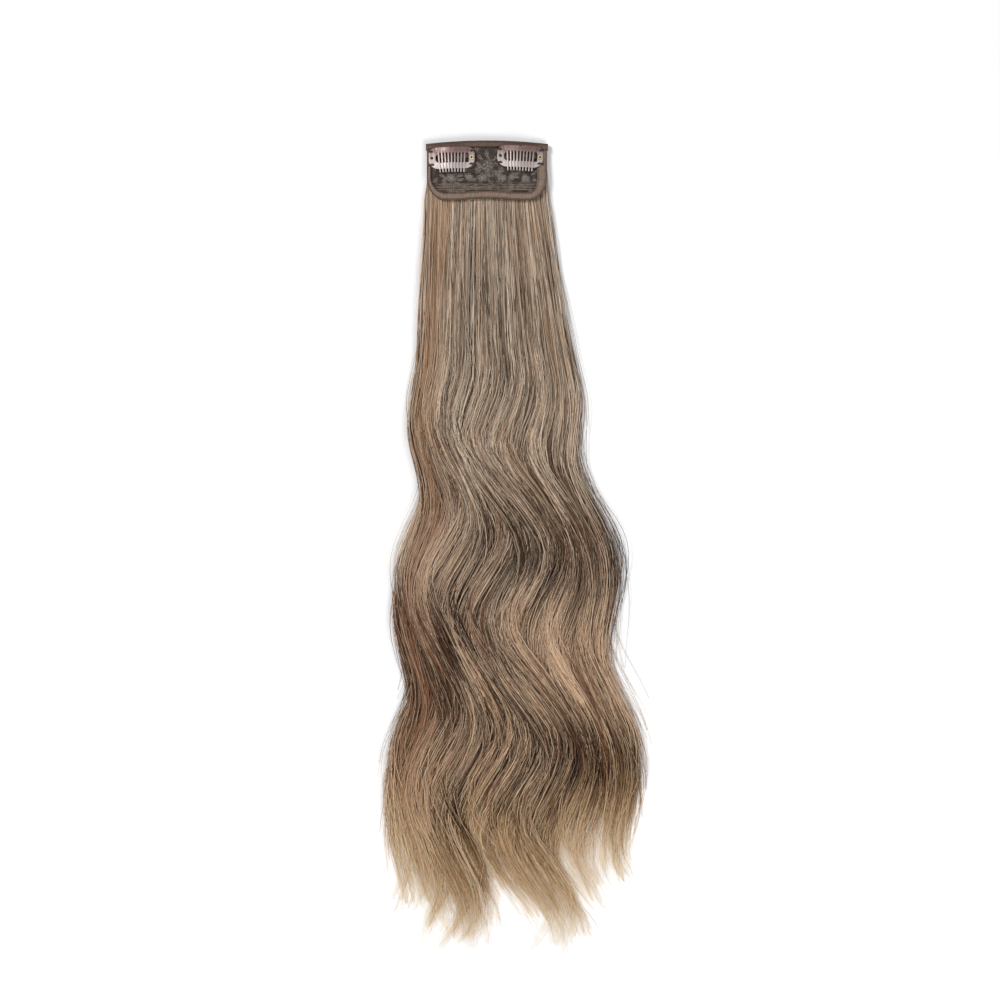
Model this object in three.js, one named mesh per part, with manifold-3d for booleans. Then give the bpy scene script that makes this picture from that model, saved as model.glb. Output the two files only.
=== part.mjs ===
// A clip in hair extension: one narrow weft of long wavy hair, lying on a surface with its clips up.
// The hair is sewn in rows under a lace base, a tape binds the base's top edge, a second tape binds
// its sides and hem, and two snap comb clips are sewn on top.
// Millimetres, +Z up, +Y from the hem to the base's top edge, +X along the base.
// The origin lies on the surface, under the middle of the base.
import * as THREE from "three";
import { mergeVertices } from "three/addons/utils/BufferGeometryUtils.js";
import Module from "manifold-3d";

const wasm = await Module();
wasm.setup();

// Clearances
const GAP = 0.3; // between pieces that touch on the real weft
const CUT_MARGIN = 2; // how far a cutting block runs past what it cuts

// The base
const BASE_WIDTH = 84;
const BASE_HEIGHT = 42;
const BASE_FACETS = 12; // flat strips across the base's crowned surface
const BASE_CROWN = 1.4; // how much higher the base lies along its middle than at its sides
const TOP_EDGE_LIFT = 1.8; // underside of the base above the surface, at the top edge
const HEM_LIFT = 5.8; // and at the hem, where all rows of hair pass under it
const TOP_BOW = 2.3; // how far the top edge's ends drop below its middle
const HEM_CORNER_ACROSS = 13;
const HEM_CORNER_UP = 16.5;
const HEM_WAVE = 1.3; // how far the hem rises between its corners
const HEM_WAVES = 1; // such rises along the straight part of the hem
const EDGE_STEPS = 10; // points along a curved edge of the base
const LACE_THICKNESS = 1;

// The tapes that bind the base
const TAPE_THICKNESS = 1;
const TOP_TAPE_WIDTH = 4.8;
const TOP_TAPE_OVERHANG = 0.7; // past the base's sides
const HEM_TAPE_WIDTH = 5.3;
const LEFT_TAPE_WIDTH = 3;
const RIGHT_TAPE_WIDTH = 7;

// The snap comb clips
const CLIP_LENGTH = 32;
const CLIP_FRAME_HEIGHT = 15;
const CLIP_SHEET = 0.5; // thickness of the frame's spring steel
const CLIP_ARCH = 1.3; // rise of the clip's middle between its flat ends
const CLIP_ARCH_LENGTH = 24.6;
const CLIP_ARCH_FACETS = 9; // an odd number leaves one flat facet in the middle
const FRAME_TOP_CORNER = 5;
const FRAME_LOWER_CORNER = 6.6;
const FRAME_BAR = 4.1; // height of the bar below the window, and of the strip above it
const WINDOW_LENGTH = 23.4;
const WINDOW_OFFSET = 0.3; // the window's centre lies this far right of the clip's
const WINDOW_LEFT_CORNER = 3.2;
const WINDOW_RIGHT_CORNER = 1;
const SEWING_HOLE_RADIUS = 0.7;
const SEWING_HOLE_INSET = 2.1; // hole centre from the clip's end
const SEWING_HOLE_RISE = 4.6; // upper and lower holes from the middle ones
const SLOT_HOLE_STRETCH = 1.6; // the lower holes are this much longer than wide
const NOTCH_RADIUS = 0.7; // at the middle of the spine's edge
const HOLE_SIDES = 10;

const COMB_SHEET = 0.6;
const COMB_SPINE_LENGTH = 22.6;
const COMB_SPINE_HEIGHT = 3.7;
const TOOTH_COUNT = 9;
const TOOTH_PITCH = 2.34; // at the spine
const TOOTH_TIP_PITCH = 2.08;
const TOOTH_WIDTH = 1.05;
const TOOTH_TIP_WIDTH = 0.7;
const TOOTH_REACH = 2.9; // past the frame's lower bar
const TOOTH_DROP = 0.7; // how far the tips bend down past the bar

const EYELET_RADIUS = 1.75;
const EYELET_BORE = 0.7;
const EYELET_WALL = 0.35;
const EYELET_FLANGE = 0.4;
const EYELET_SIDES = 12;

// How far each clip's end lies inside the base's side, and its spine below the base's top corner
const LEFT_CLIP_INSET = 1.4;
const LEFT_CLIP_DROP = 4.9;
const RIGHT_CLIP_INSET = 2.8;
const RIGHT_CLIP_DROP = 3.9;

const clipX = (inset) => BASE_WIDTH / 2 - inset - CLIP_LENGTH / 2;
const clipY = (drop) => BASE_HEIGHT / 2 - drop - CLIP_FRAME_HEIGHT / 2;

// The clips' centres, and their turns in degrees
const CLIPS = [
  { name: "clip_left", x: -clipX(LEFT_CLIP_INSET), y: clipY(LEFT_CLIP_DROP), turn: 1.5 },
  { name: "clip_right", x: clipX(RIGHT_CLIP_INSET), y: clipY(RIGHT_CLIP_DROP), turn: -2 },
];

// The hair
const HAIR_LENGTH = 530; // from the hem to the longest tips
const HAIR_ROOT_INSET = 3; // the sewn rows stay this far inside the base's outline
const HAIR_ROOT_SPREAD = 72; // between the outer locks at the hem
const HAIR_TIP_SPREAD = 158; // between the outer tips
const HAIR_TIP_DRIFT = 18; // the tips lie this far to the right of the base
const HAIR_PILE = 12.5; // the thickest part of the hair
const LOCK_ROOT_TUCK = 12; // a lock starts this far inside the hem
const LOCK_WIDTH = 21;
const LOCK_FAN = 0.4; // a lock is this share wider at its tip than at its root, before its taper
const LOCK_TIP_WIDTH = 2.6;
const LOCK_TIP_HEIGHT = 1.6;
const LOCK_RISE_LENGTH = 70; // over which a lock thickens past the hem
const LOCK_TAPER_LENGTH = 95; // over which a lock thins to its tip
const STRAIGHT_STEPS = 4; // sections along the straight part of a lock
const WAVY_STEPS = 22; // and along its waves
const WAVE_LENGTH = 137;
const WAVE_SWING = 16; // sideways, from the lock's middle line
const WAVE_START = 95; // the hair hangs straight to here
const WAVE_GROWTH = 95; // and its waves are full this much further on
const WAVE_LIFT = 0.18; // share of a lock's height that comes and goes with the wave

// A lock's cross-section, from its right foot over its top: shares of its half width and its height
const LOCK_SECTION = [
  { across: 1, up: 0 },
  { across: 0.86, up: 0.55 },
  { across: 0.4, up: 1 },
  { across: -0.4, up: 1 },
  { across: -0.86, up: 0.55 },
  { across: -1, up: 0 },
];

// The low layer under the whole pile, the locks from left to right, then the two that cross over.
// root and tip are shares of half the root spread and half the tip spread, reach of the hair length,
// wave is the lock's place in its wave in turns, swing, width and height are shares of the full ones.
const LOCKS = [
  { root: 0, tip: 0, reach: 0.9, wave: -0.58, swing: 0.5, width: 3.5, height: 0.4 },
  { root: -0.91, tip: -0.88, reach: 0.94, wave: -0.76, swing: 0.5, width: 0.8, height: 0.75 },
  { root: -0.74, tip: -0.79, reach: 0.965, wave: -0.72, swing: 0.7, width: 0.85, height: 0.85 },
  { root: -0.5, tip: -0.6, reach: 0.985, wave: -0.67, swing: 0.85, width: 0.95, height: 0.9 },
  { root: -0.26, tip: -0.4, reach: 0.99, wave: -0.61, swing: 0.85, width: 0.95, height: 0.85 },
  { root: -0.04, tip: -0.18, reach: 0.915, wave: -0.56, swing: 0.95, width: 1, height: 0.85 },
  { root: 0.18, tip: 0.08, reach: 0.985, wave: -0.52, swing: 1, width: 1, height: 0.95 },
  { root: 0.4, tip: 0.3, reach: 1, wave: -0.5, swing: 1, width: 1, height: 0.85 },
  { root: 0.6, tip: 0.52, reach: 0.965, wave: -0.48, swing: 0.9, width: 0.95, height: 0.9 },
  { root: 0.78, tip: 0.74, reach: 0.93, wave: -0.46, swing: 0.65, width: 0.9, height: 0.8 },
  { root: 0.92, tip: 0.96, reach: 0.9, wave: -0.42, swing: 0.5, width: 0.8, height: 0.65 },
  { root: -0.55, tip: 0.4, reach: 0.95, wave: -0.54, swing: 0.9, width: 0.8, height: 1 },
  { root: 0.35, tip: 0.2, reach: 0.94, wave: -0.5, swing: 1.05, width: 0.65, height: 1 },
];

// Materials
const material = (name, color, roughness, metalness) =>
  new THREE.MeshStandardMaterial({ name, color, roughness, metalness });
const hairMaterial = material("hair", 0xa58b74, 0.5, 0);
const laceMaterial = material("lace", 0x5a504b, 0.9, 0);
const tapeMaterial = material("tape", 0x766458, 0.85, 0);
const clipSteelMaterial = material("clip_steel", 0xb59d99, 0.3, 0.9);
const eyeletMaterial = material("eyelet", 0xe8dfc8, 0.35, 0.7);

// Solids

// A closed geometry as a solid that can be joined and cut
function solidOf(geometry) {
  geometry.deleteAttribute("normal");
  geometry.deleteAttribute("uv");
  const merged = mergeVertices(geometry, 1e-4);
  const mesh = new wasm.Mesh({
    numProp: 3,
    vertProperties: Float32Array.from(merged.attributes.position.array),
    triVerts: Uint32Array.from(merged.index.array),
  });
  return new wasm.Manifold(mesh);
}

// A solid as a named mesh
function pieceOf(name, solid, pieceMaterial) {
  const { vertProperties, triVerts } = solid.getMesh();
  const geometry = new THREE.BufferGeometry();
  geometry.setAttribute("position", new THREE.BufferAttribute(vertProperties, 3));
  geometry.setIndex(new THREE.BufferAttribute(triVerts, 1));
  const mesh = new THREE.Mesh(geometry.toNonIndexed(), pieceMaterial);
  mesh.geometry.computeVertexNormals();
  mesh.name = name;
  return mesh;
}

// An upright prism on a plan outline, from the surface up
function prism(shape, height, floor = 0) {
  const geometry = new THREE.ExtrudeGeometry(shape, {
    depth: height,
    bevelEnabled: false,
    curveSegments: HOLE_SIDES / 2,
  });
  return solidOf(geometry.translate(0, 0, floor));
}

function evenSteps(from, to, count) {
  return Array.from({ length: count + 1 }, (_, i) => from + ((to - from) * i) / count);
}

// Joins rings of vertices into one closed body. Each ring turns anticlockwise, seen from the next
// one, and the cap's triangles close the first and the last ring.
function bodyOfRings(rings, cap) {
  const sides = rings[0].length;
  const index = [];
  for (let ring = 0; ring + 1 < rings.length; ring++) {
    for (let side = 0; side < sides; side++) {
      const a = ring * sides + side;
      const b = ring * sides + ((side + 1) % sides);
      index.push(a, b, b + sides, a, b + sides, a + sides);
    }
  }
  const last = (rings.length - 1) * sides;
  for (const [a, b, c] of cap) {
    index.push(a, c, b, last + a, last + b, last + c);
  }
  const geometry = new THREE.BufferGeometry();
  geometry.setAttribute("position", new THREE.Float32BufferAttribute(rings.flat(2), 3));
  geometry.setIndex(index);
  return solidOf(geometry);
}

// A slab between two heights, over the lines xs and ys
function slab(xs, ys, bottomAt, topAt) {
  const rings = xs.map((x) => [
    ...ys.map((y) => [x, y, bottomAt(x, y)]),
    ...ys.toReversed().map((y) => [x, y, topAt(x, y)]),
  ]);
  const cap = ys.slice(1).flatMap((_, step) => {
    const [low, nextLow] = [step, step + 1];
    const [high, nextHigh] = [2 * ys.length - 1 - step, 2 * ys.length - 2 - step];
    return [
      [low, nextLow, nextHigh],
      [low, nextHigh, high],
    ];
  });
  return bodyOfRings(rings, cap);
}

// The base's surface and outline

const baseHalfWidth = BASE_WIDTH / 2;
const baseHalfHeight = BASE_HEIGHT / 2;
const tapeTop = LACE_THICKNESS + GAP + TAPE_THICKNESS; // over the base's underside
const hemY = -baseHalfHeight;

function undersideAt(x, y) {
  const across = x / baseHalfWidth;
  const fromTopEdge = (baseHalfHeight - y) / BASE_HEIGHT;
  const slope = (HEM_LIFT - TOP_EDGE_LIFT) * fromTopEdge;
  return TOP_EDGE_LIFT + slope + BASE_CROWN * (1 - across * across);
}

// A layer of the base between two heights over its underside
function baseLayer(from, to) {
  const reach = baseHalfWidth + CUT_MARGIN;
  const xs = evenSteps(-reach, reach, BASE_FACETS);
  const ys = [-baseHalfHeight - CUT_MARGIN, baseHalfHeight + CUT_MARGIN];
  return slab(
    xs,
    ys,
    (x, y) => undersideAt(x, y) + from,
    (x, y) => undersideAt(x, y) + to,
  );
}

function topEdgeAt(x) {
  const across = x / baseHalfWidth;
  return baseHalfHeight - TOP_BOW * across * across;
}

// The base's outline in plan, moved in by the insets
function baseOutline({ left = 0, right = 0, bottom = 0, top = 0 }) {
  const leftX = -baseHalfWidth + left;
  const rightX = baseHalfWidth - right;
  const bottomY = hemY + bottom;
  const cornerUp = HEM_CORNER_UP - bottom;
  const points = [];
  const corner = (centreX, across, from) => {
    for (const angle of evenSteps(from, from + Math.PI / 2, EDGE_STEPS)) {
      const x = centreX + across * Math.cos(angle);
      points.push(new THREE.Vector2(x, bottomY + cornerUp + cornerUp * Math.sin(angle)));
    }
  };
  const leftAcross = HEM_CORNER_ACROSS - left;
  const rightAcross = HEM_CORNER_ACROSS - right;
  corner(leftX + leftAcross, leftAcross, Math.PI);
  const hemLine = evenSteps(leftX + leftAcross, rightX - rightAcross, EDGE_STEPS);
  for (const [step, x] of hemLine.entries()) {
    const ripple = (1 - Math.cos((2 * Math.PI * HEM_WAVES * step) / EDGE_STEPS)) / 2;
    const ends = Math.sin((Math.PI * step) / EDGE_STEPS);
    if (step > 0 && step < EDGE_STEPS) {
      points.push(new THREE.Vector2(x, bottomY + HEM_WAVE * ripple * ends));
    }
  }
  corner(rightX - rightAcross, rightAcross, (3 * Math.PI) / 2);
  for (const x of evenSteps(rightX, leftX, EDGE_STEPS)) {
    points.push(new THREE.Vector2(x, topEdgeAt(x) - top));
  }
  return new THREE.Shape(points);
}

const evenInset = (inset) => ({ left: inset, right: inset, bottom: inset, top: inset });

// The band along the top edge, deep enough for the top tape and a margin below it
function topBand(margin) {
  const reach = baseHalfWidth + TOP_TAPE_OVERHANG + margin;
  const line = evenSteps(-reach, reach, EDGE_STEPS);
  const lowerEdge = line.map(
    (x) => new THREE.Vector2(x, topEdgeAt(x) - TOP_TAPE_WIDTH - margin),
  );
  const upperEdge = line.toReversed().map((x) => new THREE.Vector2(x, topEdgeAt(x) + margin));
  return new THREE.Shape([...lowerEdge, ...upperEdge]);
}

const tallEnough = HEM_LIFT + BASE_CROWN + tapeTop + CUT_MARGIN;

function lacePanel() {
  const outline = baseOutline(evenInset(TAPE_THICKNESS + GAP));
  const solid = baseLayer(0, LACE_THICKNESS).intersect(prism(outline, tallEnough));
  return pieceOf("lace_panel", solid, laceMaterial);
}

// A tape lies on the lace and turns down over its edge
function foldedTape(region, flatInside, lipInside) {
  const flat = baseLayer(LACE_THICKNESS + GAP, tapeTop).intersect(region.subtract(flatInside));
  const lip = baseLayer(0, tapeTop).intersect(region.subtract(lipInside));
  return flat.add(lip);
}

function topTape() {
  const region = prism(topBand(0), tallEnough);
  const below = { ...evenInset(TAPE_THICKNESS), bottom: 0 };
  const lipInside = prism(baseOutline(below), tallEnough);
  const nothing = region.subtract(region);
  return pieceOf("top_tape", foldedTape(region, nothing, lipInside), tapeMaterial);
}

function hemTape() {
  const belowTopTape = prism(baseOutline({}), tallEnough).subtract(
    prism(topBand(GAP), tallEnough),
  );
  const window = {
    left: LEFT_TAPE_WIDTH,
    right: RIGHT_TAPE_WIDTH,
    bottom: HEM_TAPE_WIDTH,
    top: 0,
  };
  const flatInside = prism(baseOutline({ ...window, top: -CUT_MARGIN }), tallEnough);
  const lipInset = { ...evenInset(TAPE_THICKNESS), top: -CUT_MARGIN };
  const lipInside = prism(baseOutline(lipInset), tallEnough);
  return pieceOf("hem_tape", foldedTape(belowTopTape, flatInside, lipInside), tapeMaterial);
}

// The hair

const smooth = (share) => THREE.MathUtils.smoothstep(share, 0, 1);

// A lock's middle line, width and height at a distance down from the hem
function lockAt(lock, down) {
  const length = HAIR_LENGTH * lock.reach;
  const rootX = (lock.root * HAIR_ROOT_SPREAD) / 2;
  const tipX = (lock.tip * HAIR_TIP_SPREAD) / 2 + HAIR_TIP_DRIFT;
  const spread = Math.max(down, 0) / length;
  const waves = smooth((down - WAVE_START) / WAVE_GROWTH);
  const turn = 2 * Math.PI * (down / WAVE_LENGTH - lock.wave);
  const fromTip = THREE.MathUtils.clamp((length - down) / LOCK_TAPER_LENGTH, 0, 1);
  const taper = Math.sin((Math.PI / 2) * fromTip);
  const rise = smooth(down / LOCK_RISE_LENGTH);
  const full = HAIR_PILE * lock.height * (1 + WAVE_LIFT * waves * Math.sin(turn + Math.PI / 2));
  const height = THREE.MathUtils.lerp(HEM_LIFT, full / (1 + WAVE_LIFT), rise);
  const width = LOCK_WIDTH * lock.width * (1 + LOCK_FAN * spread);
  const x = THREE.MathUtils.lerp(rootX, tipX, spread);
  return {
    x: x + lock.swing * WAVE_SWING * waves * Math.sin(turn),
    halfWidth: THREE.MathUtils.lerp(LOCK_TIP_WIDTH, width, taper) / 2,
    height: THREE.MathUtils.lerp(LOCK_TIP_HEIGHT, height, taper),
  };
}

function lockBody(lock) {
  const stations = [
    ...evenSteps(-LOCK_ROOT_TUCK, WAVE_START, STRAIGHT_STEPS),
    ...evenSteps(WAVE_START, HAIR_LENGTH * lock.reach, WAVY_STEPS).slice(1),
  ];
  const rings = stations.map((down) => {
    const { x, halfWidth, height } = lockAt(lock, down);
    return LOCK_SECTION.map(({ across, up }) => [x + across * halfWidth, hemY - down, up * height]);
  });
  const cap = LOCK_SECTION.slice(2).map((_, side) => [0, side + 1, side + 2]);
  return bodyOfRings(rings, cap);
}

// The locks are fused to the sewn rows under the base, which the base lies on
function hair() {
  const sewnRows = prism(baseOutline(evenInset(HAIR_ROOT_INSET)), tallEnough);
  const everything = LOCKS.map(lockBody).reduce((all, lock) => all.add(lock), sewnRows);
  const overBase = baseLayer(-GAP, tallEnough).intersect(
    prism(baseOutline(evenInset(-GAP)), 2 * tallEnough),
  );
  return pieceOf("hair", everything.subtract(overBase), hairMaterial);
}

// The snap comb clips, each in its own frame: +X along the clip, +Y to the spine, +Z off the base

const clipHalf = CLIP_LENGTH / 2;
const frameHalf = CLIP_FRAME_HEIGHT / 2;
const holeX = clipHalf - SEWING_HOLE_INSET;
const combUnderside = CLIP_SHEET + GAP;
const toothTipY = -frameHalf - TOOTH_REACH;
const clipTallEnough = CLIP_ARCH + combUnderside + COMB_SHEET + CUT_MARGIN;

function archAt(x) {
  const half = CLIP_ARCH_LENGTH / 2;
  return Math.abs(x) < half ? (CLIP_ARCH * (1 + Math.cos((Math.PI * x) / half))) / 2 : 0;
}

// A bent sheet of the clip, its underside at a height over the base and its tips bent down
function clipSheet(underside, thickness, tipDrop) {
  const reach = clipHalf + CUT_MARGIN;
  const half = CLIP_ARCH_LENGTH / 2;
  const xs = [-reach, ...evenSteps(-half, half, CLIP_ARCH_FACETS), reach];
  const ys = [toothTipY, (toothTipY - frameHalf) / 2, -frameHalf, frameHalf + CUT_MARGIN];
  const dropAt = (y) => {
    const past = THREE.MathUtils.clamp((-frameHalf - y) / TOOTH_REACH, 0, 1);
    return tipDrop * past * past;
  };
  const undersideOf = (x, y) => archAt(x) + underside - dropAt(y);
  return slab(xs, ys, undersideOf, (x, y) => undersideOf(x, y) + thickness);
}

// A rectangle whose corners have their own radii, from the lower left corner on, anticlockwise
function roundedShape(left, right, bottom, top, [lowerLeft, lowerRight, upperRight, upperLeft]) {
  const shape = new THREE.Shape();
  const quarter = Math.PI / 2;
  shape.absarc(left + lowerLeft, bottom + lowerLeft, lowerLeft, 2 * quarter, 3 * quarter);
  shape.absarc(right - lowerRight, bottom + lowerRight, lowerRight, 3 * quarter, 4 * quarter);
  shape.absarc(right - upperRight, top - upperRight, upperRight, 0, quarter);
  shape.absarc(left + upperLeft, top - upperLeft, upperLeft, quarter, 2 * quarter);
  return shape;
}

function clipPrism(shape) {
  return prism(shape, 2 * clipTallEnough, -clipTallEnough);
}

function holePrism(x, y, radius, stretch = 1) {
  const hole = new THREE.Shape();
  hole.absellipse(x, y, radius * stretch, radius, 0, 2 * Math.PI);
  return clipPrism(hole);
}

const spineNotch = () => holePrism(0, frameHalf, NOTCH_RADIUS);

function clipFrame(name) {
  const plate = roundedShape(-clipHalf, clipHalf, -frameHalf, frameHalf, [
    FRAME_LOWER_CORNER,
    FRAME_LOWER_CORNER,
    FRAME_TOP_CORNER,
    FRAME_TOP_CORNER,
  ]);
  const windowLeft = WINDOW_OFFSET - WINDOW_LENGTH / 2;
  const windowRight = WINDOW_OFFSET + WINDOW_LENGTH / 2;
  const windowHalf = frameHalf - FRAME_BAR;
  const window = roundedShape(windowLeft, windowRight, -windowHalf, windowHalf, [
    WINDOW_LEFT_CORNER,
    WINDOW_RIGHT_CORNER,
    WINDOW_RIGHT_CORNER,
    WINDOW_LEFT_CORNER,
  ]);
  const cuts = [
    clipPrism(window),
    spineNotch(),
    holePrism(-holeX, SEWING_HOLE_RISE, SEWING_HOLE_RADIUS),
    holePrism(holeX, SEWING_HOLE_RISE, SEWING_HOLE_RADIUS),
    holePrism(-holeX, 0, SEWING_HOLE_RADIUS),
    holePrism(holeX, 0, EYELET_BORE + EYELET_WALL + GAP),
    holePrism(-holeX + SEWING_HOLE_RADIUS, -SEWING_HOLE_RISE, SEWING_HOLE_RADIUS, SLOT_HOLE_STRETCH),
    holePrism(holeX - SEWING_HOLE_RADIUS, -SEWING_HOLE_RISE, SEWING_HOLE_RADIUS, SLOT_HOLE_STRETCH),
  ];
  const sheet = clipSheet(0, CLIP_SHEET, 0).intersect(clipPrism(plate));
  const solid = cuts.reduce((rest, cut) => rest.subtract(cut), sheet);
  return pieceOf(`${name}_frame`, solid, clipSteelMaterial);
}

function tooth(number) {
  const fromMiddle = number - (TOOTH_COUNT - 1) / 2;
  const spineX = fromMiddle * TOOTH_PITCH;
  const tipX = fromMiddle * TOOTH_TIP_PITCH;
  const rootY = frameHalf - COMB_SPINE_HEIGHT / 2;
  const shoulderY = toothTipY + TOOTH_TIP_WIDTH;
  return new THREE.Shape([
    new THREE.Vector2(spineX - TOOTH_WIDTH / 2, rootY),
    new THREE.Vector2(tipX - TOOTH_TIP_WIDTH / 2, shoulderY),
    new THREE.Vector2(tipX, toothTipY),
    new THREE.Vector2(tipX + TOOTH_TIP_WIDTH / 2, shoulderY),
    new THREE.Vector2(spineX + TOOTH_WIDTH / 2, rootY),
  ]);
}

function clipComb(name) {
  const spineHalf = COMB_SPINE_LENGTH / 2;
  const corner = COMB_SPINE_HEIGHT / 4;
  const spine = roundedShape(-spineHalf, spineHalf, frameHalf - COMB_SPINE_HEIGHT, frameHalf, [
    corner,
    corner,
    corner,
    corner,
  ]);
  let outline = clipPrism(spine).subtract(spineNotch());
  for (let number = 0; number < TOOTH_COUNT; number++) {
    outline = outline.add(clipPrism(tooth(number)));
  }
  const solid = clipSheet(combUnderside, COMB_SHEET, TOOTH_DROP).intersect(outline);
  return pieceOf(`${name}_comb`, solid, clipSteelMaterial);
}

// A rolled eyelet in the hole by the clip's right end
function clipEyelet(name) {
  const barrel = EYELET_BORE + EYELET_WALL;
  const flangeBottom = CLIP_SHEET + GAP;
  const flangeTop = flangeBottom + EYELET_FLANGE;
  const rim = EYELET_FLANGE / 2;
  const profile = [
    new THREE.Vector2(EYELET_BORE, 0),
    new THREE.Vector2(barrel, 0),
    new THREE.Vector2(barrel, flangeBottom),
    new THREE.Vector2(EYELET_RADIUS, flangeBottom),
    new THREE.Vector2(EYELET_RADIUS, flangeTop - rim),
    new THREE.Vector2(EYELET_RADIUS - rim, flangeTop),
    new THREE.Vector2(EYELET_BORE + rim, flangeTop),
    new THREE.Vector2(EYELET_BORE, flangeTop - rim),
    new THREE.Vector2(EYELET_BORE, 0),
  ];
  const geometry = new THREE.LatheGeometry(profile, EYELET_SIDES);
  geometry.rotateX(Math.PI / 2);
  const mesh = pieceOf(`${name}_eyelet`, solidOf(geometry), eyeletMaterial);
  mesh.position.x = holeX;
  return mesh;
}

// A clip lies on the tape, tilted as the base is under it
function clip({ name, x, y, turn }) {
  const group = new THREE.Group();
  group.add(clipFrame(name), clipComb(name), clipEyelet(name));
  const slopeAlongX = (-2 * BASE_CROWN * x) / baseHalfWidth ** 2;
  const slopeAlongY = (TOP_EDGE_LIFT - HEM_LIFT) / BASE_HEIGHT;
  const pitch = Math.atan(slopeAlongY);
  const roll = -Math.atan(slopeAlongX);
  group.position.set(x, y, undersideAt(x, y) + tapeTop + GAP);
  group.rotation.set(pitch, roll, THREE.MathUtils.degToRad(turn));
  return group;
}

const weft = new THREE.Group();
weft.add(hair(), lacePanel(), topTape(), hemTape(), ...CLIPS.map(clip));

export default weft;
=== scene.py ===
import bmesh
import bpy
import numpy as np
from mathutils import Euler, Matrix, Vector


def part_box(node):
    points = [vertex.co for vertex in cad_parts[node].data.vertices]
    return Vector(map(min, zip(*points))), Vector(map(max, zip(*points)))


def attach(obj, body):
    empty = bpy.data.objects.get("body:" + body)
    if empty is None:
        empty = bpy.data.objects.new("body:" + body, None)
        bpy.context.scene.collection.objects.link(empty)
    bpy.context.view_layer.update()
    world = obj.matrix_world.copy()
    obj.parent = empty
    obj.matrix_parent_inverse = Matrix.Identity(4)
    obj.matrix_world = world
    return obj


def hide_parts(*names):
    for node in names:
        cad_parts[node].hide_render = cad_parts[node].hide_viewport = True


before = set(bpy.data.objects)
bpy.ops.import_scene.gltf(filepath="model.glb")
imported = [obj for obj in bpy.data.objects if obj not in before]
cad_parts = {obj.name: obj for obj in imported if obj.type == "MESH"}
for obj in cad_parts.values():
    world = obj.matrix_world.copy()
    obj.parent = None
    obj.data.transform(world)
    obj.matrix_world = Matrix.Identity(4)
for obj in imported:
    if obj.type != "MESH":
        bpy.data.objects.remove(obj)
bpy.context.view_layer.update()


# The sewn hair
# Long wavy hair, machine sewn in rows and laid down in locks that swing together and fan out to the
# tips. Every strand drawn here stands for a few hairs that cling together; a low body fills the inside.

MM = 0.001
chance = np.random.default_rng(17)

BASE_HALF_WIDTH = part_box("hem_tape")[1].x
BASE_HALF_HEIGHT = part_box("top_tape")[1].y
HEM_Y = -BASE_HALF_HEIGHT
BASE_CROWN = 1.4 * MM
TOP_EDGE_LIFT = 1.8 * MM
HEM_LIFT = 5.8 * MM

HAIR_LENGTH = 530 * MM
HAIR_ROOT_SPREAD = 72 * MM
HAIR_TIP_SPREAD = 158 * MM
HAIR_TIP_DRIFT = 18 * MM
HAIR_PILE = 12.5 * MM
LOCK_WIDTH = 21 * MM
LOCK_FAN = 0.4
LOCK_TIP_WIDTH = 2.6 * MM
LOCK_TIP_HEIGHT = 1.6 * MM
LOCK_RISE_LENGTH = 70 * MM
LOCK_TAPER_LENGTH = 95 * MM
WAVE_LENGTH = 137 * MM
WAVE_SWING = 16 * MM
WAVE_START = 95 * MM
WAVE_GROWTH = 95 * MM
WAVE_LIFT = 0.18

LOCK_COLUMNS = ["root", "tip", "reach", "wave", "swing", "width", "height"]
UNDER_LAYER = (0, 0, 0.9, -0.58, 0.5, 3.5, 0.4)
FALLING_LOCKS = [
    (-0.91, -0.88, 0.94, -0.76, 0.5, 0.8, 0.75),
    (-0.74, -0.79, 0.965, -0.72, 0.7, 0.85, 0.85),
    (-0.5, -0.6, 0.985, -0.67, 0.85, 0.95, 0.9),
    (-0.26, -0.4, 0.99, -0.61, 0.85, 0.95, 0.85),
    (-0.04, -0.18, 0.915, -0.56, 0.95, 1, 0.85),
    (0.18, 0.08, 0.985, -0.52, 1, 1, 0.95),
    (0.4, 0.3, 1, -0.5, 1, 1, 0.85),
    (0.6, 0.52, 0.965, -0.48, 0.9, 0.95, 0.9),
    (0.78, 0.74, 0.93, -0.46, 0.65, 0.9, 0.8),
    (0.92, 0.96, 0.9, -0.42, 0.5, 0.8, 0.65),
]
CROSSING_LOCKS = [
    (-0.55, 0.4, 0.95, -0.54, 0.9, 0.8, 1),
    (0.35, 0.2, 0.94, -0.5, 1.05, 0.65, 1),
]


def as_lock(row):
    return dict(zip(LOCK_COLUMNS, row))


def smooth(share):
    share = np.clip(share, 0, 1)
    return share * share * (3 - 2 * share)


def underside_at(x, y):
    """Height of the base's underside over the surface."""
    across = x / BASE_HALF_WIDTH
    from_top = (BASE_HALF_HEIGHT - y) / (2 * BASE_HALF_HEIGHT)
    return TOP_EDGE_LIFT + (HEM_LIFT - TOP_EDGE_LIFT) * from_top + BASE_CROWN * (1 - across**2)


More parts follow.
